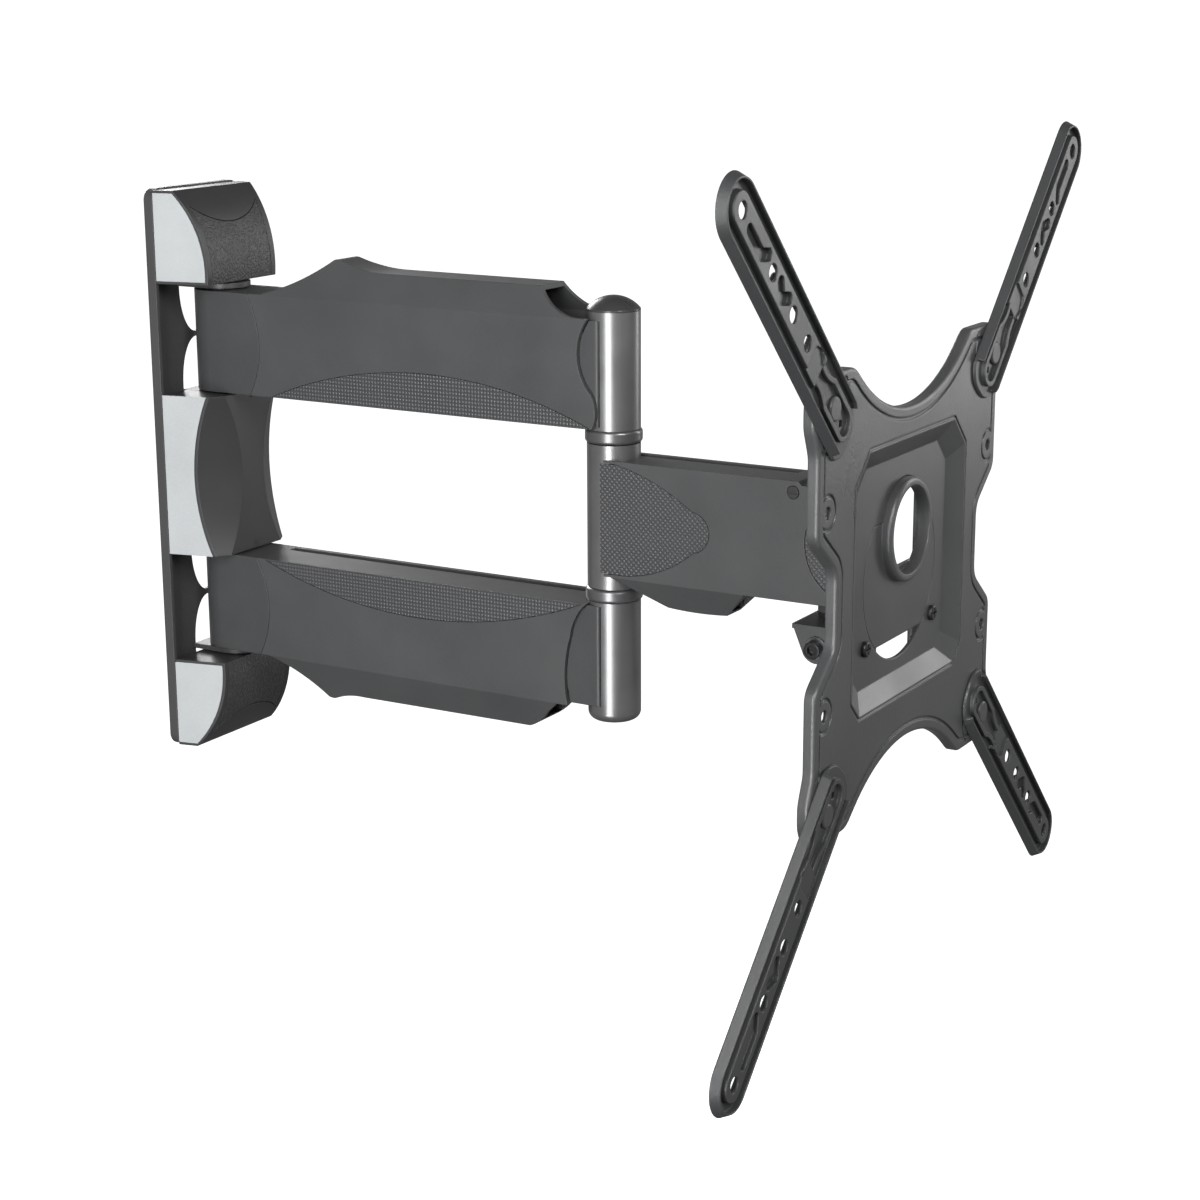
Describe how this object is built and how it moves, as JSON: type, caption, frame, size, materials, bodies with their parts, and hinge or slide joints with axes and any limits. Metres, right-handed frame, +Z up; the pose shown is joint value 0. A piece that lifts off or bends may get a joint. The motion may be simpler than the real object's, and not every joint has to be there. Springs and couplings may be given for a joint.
{
  "type": "full motion tv wall mount",
  "caption": "Wall-fixed folding mount: twin-bar arm and forearm on vertical pivots carry a tilting screen plate with swinging slotted arms.",
  "frame": {"origin": "centre of the wall plate's back face, in the wall's plane", "axes": "+Y into the wall, -Y out towards the screen, +Z up, +X along the width"},
  "size_m": [0.433, 0.47, 0.433],
  "materials": {
    "wall_steel": "powder coat, fine texture",
    "cover_plastic": "fine spark-eroded texture",
    "silver_trim": "satin silver paint",
    "textured_panel": "woven texture",
    "zinc_steel": "zinc plated",
    "nylon": "black nylon",
    "arm_steel": "powder coat, satin",
    "arm_plastic": "fine satin texture",
    "leaf_texture": "dotted texture",
    "column_gloss": "gloss gunmetal",
    "ring_plastic": "gloss black",
    "cap_plastic": "satin",
    "plate_steel": "powder coat, satin",
    "spider_steel": "powder coat, satin",
    "rivet_steel": "painted steel",
    "black_steel": "black oxide"
  },
  "bodies": {
    "wall_bracket": {"wall_plate": "wall_steel", "upper_pivot_lugs": "wall_steel", "lower_pivot_lugs": "wall_steel", "top_cover": "cover_plastic", "top_cover_trims": "silver_trim", "top_cover_panel": "textured_panel", "middle_cover": "cover_plastic", "middle_cover_trims": "silver_trim", "bottom_cover": "cover_plastic", "bottom_cover_trims": "silver_trim", "bottom_cover_panel": "textured_panel", "wall_pivot_bolts": "zinc_steel", "wall_pivot_nuts": "zinc_steel", "wall_pivot_washers": "nylon"},
    "arm_pair": {"upper_arm_core": "arm_steel", "upper_arm_cover": "arm_plastic", "upper_arm_leaf_trims": "leaf_texture", "lower_arm_core": "arm_steel", "lower_arm_cover": "arm_plastic", "lower_arm_leaf_trims": "leaf_texture", "wall_pivot_bushes": "nylon", "upper_column": "column_gloss", "lower_column": "column_gloss", "column_rings": "ring_plastic", "column_cap": "cap_plastic", "column_axle": "zinc_steel", "column_nut": "zinc_steel"},
    "forearm": {"forearm_column_tube": "column_gloss", "column_bushes": "nylon", "forearm_core": "arm_steel", "forearm_cover": "arm_plastic", "forearm_leaf_trims": "leaf_texture", "forearm_screw_caps": "cap_plastic", "head_bushes": "nylon"},
    "head": {"swivel_bracket": "plate_steel", "head_pivot_pin": "zinc_steel", "head_pivot_washers": "nylon", "head_pivot_nut": "zinc_steel", "tilt_bolt": "black_steel", "tilt_nut": "zinc_steel", "tilt_washers": "zinc_steel"},
    "tv_plate": {"tilt_bracket": "plate_steel", "vesa_plate": "plate_steel", "plate_screws": "black_steel", "arm_rivets": "rivet_steel"},
    "arm_upper_left": {"spider_arm_upper_left": "spider_steel"},
    "arm_upper_right": {"spider_arm_upper_right": "spider_steel"},
    "arm_lower_left": {"spider_arm_lower_left": "spider_steel"},
    "arm_lower_right": {"spider_arm_lower_right": "spider_steel"}
  },
  "joints": [
    {"name": "wall_hinge", "type": "hinge", "parent": "wall_bracket", "child": "arm_pair", "pos_m": [0, -0.026, 0], "axis": [0, 0, 1], "range_deg": [-90, 90]},
    {"name": "elbow_hinge", "type": "hinge", "parent": "arm_pair", "child": "forearm", "pos_m": [0, -0.29, 0], "axis": [0, 0, -1], "range_deg": [-110, 110]},
    {"name": "head_hinge", "type": "hinge", "parent": "forearm", "child": "head", "pos_m": [0, -0.426, 0], "axis": [0, 0, 1], "range_deg": [-60, 60]},
    {"name": "tilt_hinge", "type": "hinge", "parent": "head", "child": "tv_plate", "pos_m": [0, -0.426, -0.051], "axis": [1, 0, 0], "range_deg": [-5, 15]},
    {"name": "upper_left_arm_hinge", "type": "hinge", "parent": "tv_plate", "child": "arm_upper_left", "pos_m": [-0.1, -0.4655, 0.0875], "axis": [0, -1, 0], "range_deg": [-45, 45]},
    {"name": "upper_right_arm_hinge", "type": "hinge", "parent": "tv_plate", "child": "arm_upper_right", "pos_m": [0.1, -0.4655, 0.0875], "axis": [0, -1, 0], "range_deg": [-45, 45]},
    {"name": "lower_left_arm_hinge", "type": "hinge", "parent": "tv_plate", "child": "arm_lower_left", "pos_m": [-0.1, -0.4655, -0.1125], "axis": [0, -1, 0], "range_deg": [-45, 45]},
    {"name": "lower_right_arm_hinge", "type": "hinge", "parent": "tv_plate", "child": "arm_lower_right", "pos_m": [0.1, -0.4655, -0.1125], "axis": [0, -1, 0], "range_deg": [-45, 45]}
  ]
}
